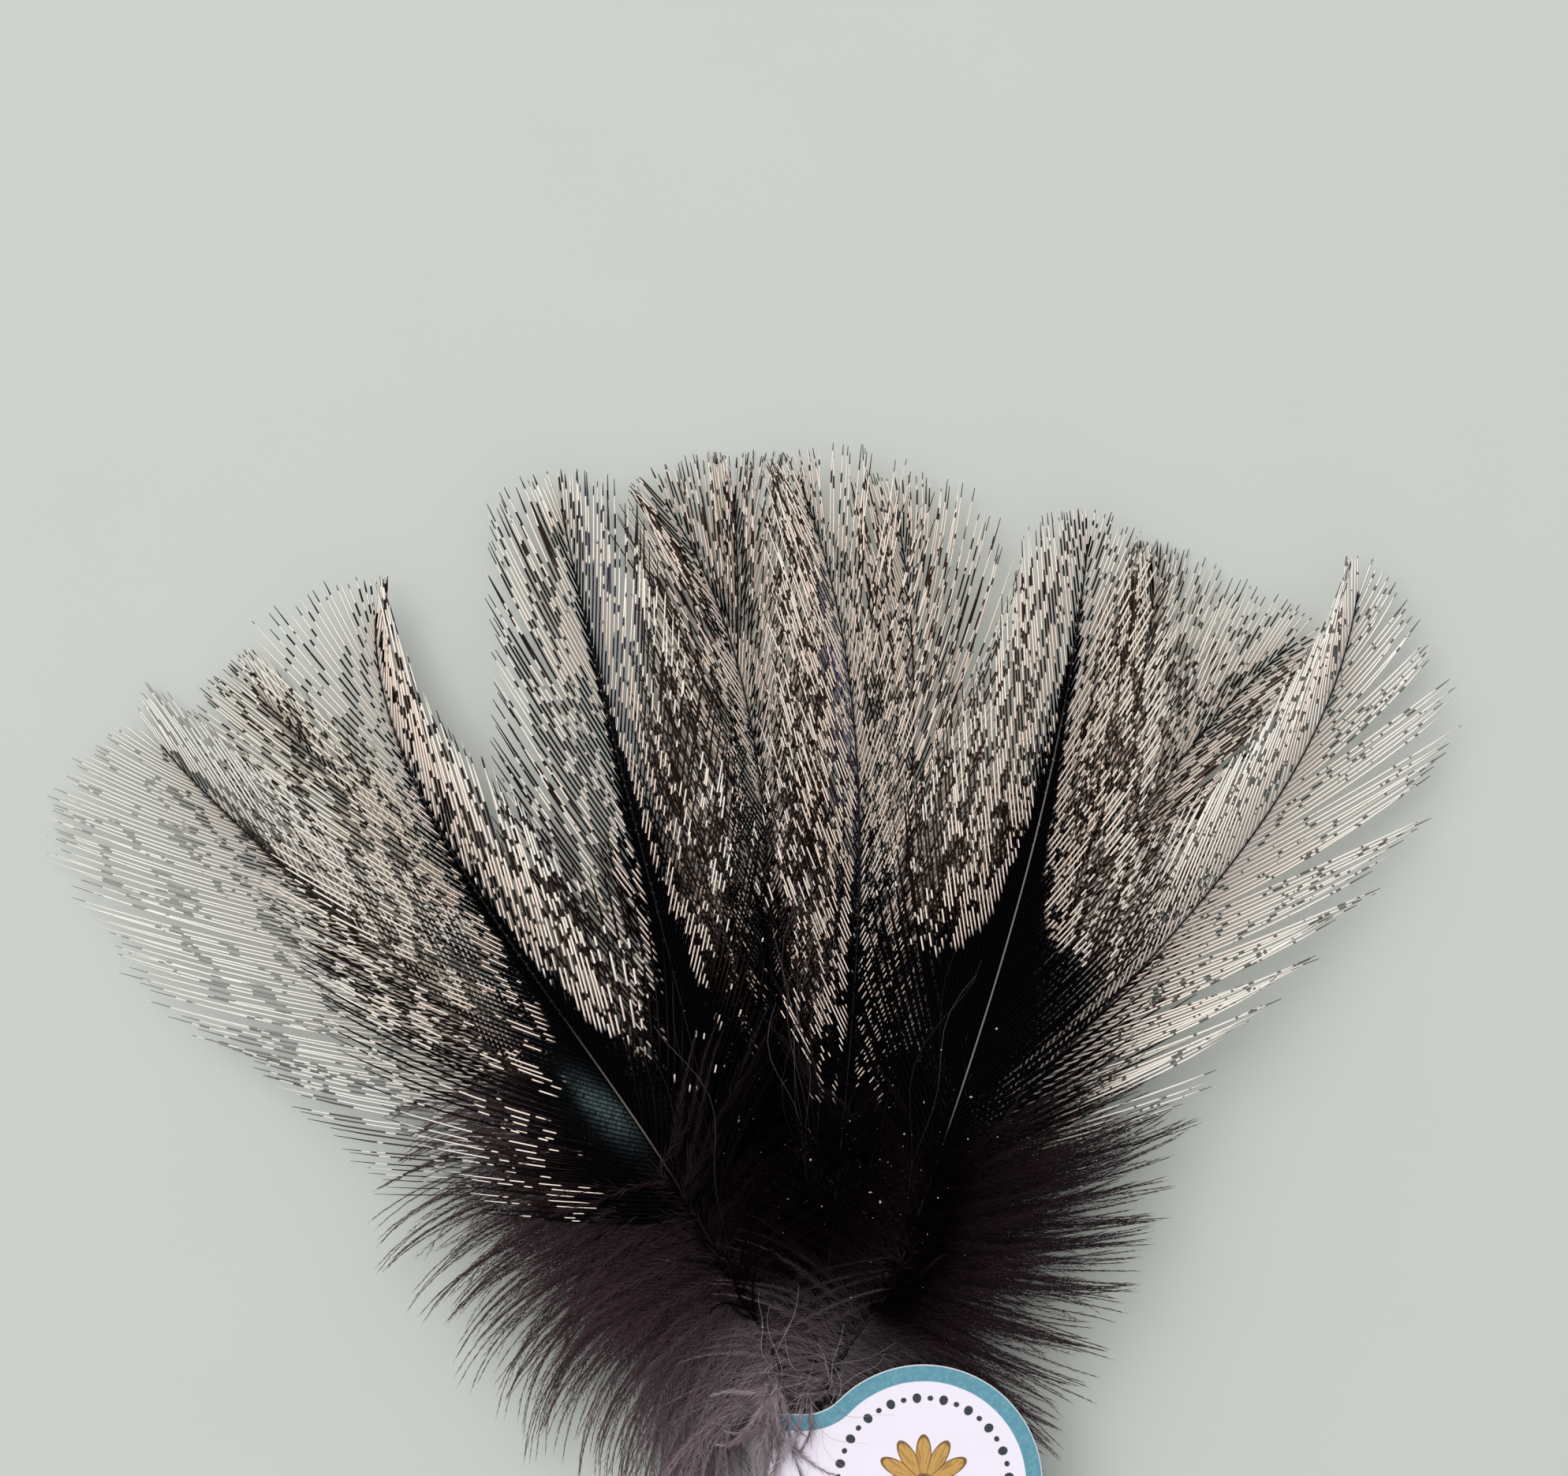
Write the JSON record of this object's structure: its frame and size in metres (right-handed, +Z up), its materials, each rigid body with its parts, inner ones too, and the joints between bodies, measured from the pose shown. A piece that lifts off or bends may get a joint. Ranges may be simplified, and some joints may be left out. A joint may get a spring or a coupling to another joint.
{
  "type": "rooster feather bunch",
  "caption": "Fan of speckled rooster feathers with downy bases, lying flat, their quills bunched in the loop of a folded card label.",
  "frame": {"origin": "middle of the underside of the whole bunch, on the surface that it lies on", "axes": "+X across the fan to the right, +Y from the quills to the feather tips, +Z up to the glossy side"},
  "size_m": [0.1482, 0.1216, 0.012],
  "materials": {
    "feather": "glossy speckled barbs, matt dark down",
    "label_card": "smooth white card with a teal border"
  },
  "bodies": {
    "root": {"feather_1": "feather", "feather_2": "feather", "feather_3": "feather", "feather_4": "feather", "feather_5": "feather", "feather_6": "feather", "feather_7": "feather", "feather_8": "feather", "feather_9": "feather", "feather_10": "feather", "feather_11": "feather", "feather_12": "feather", "label": "label_card"}
  },
  "joints": []
}
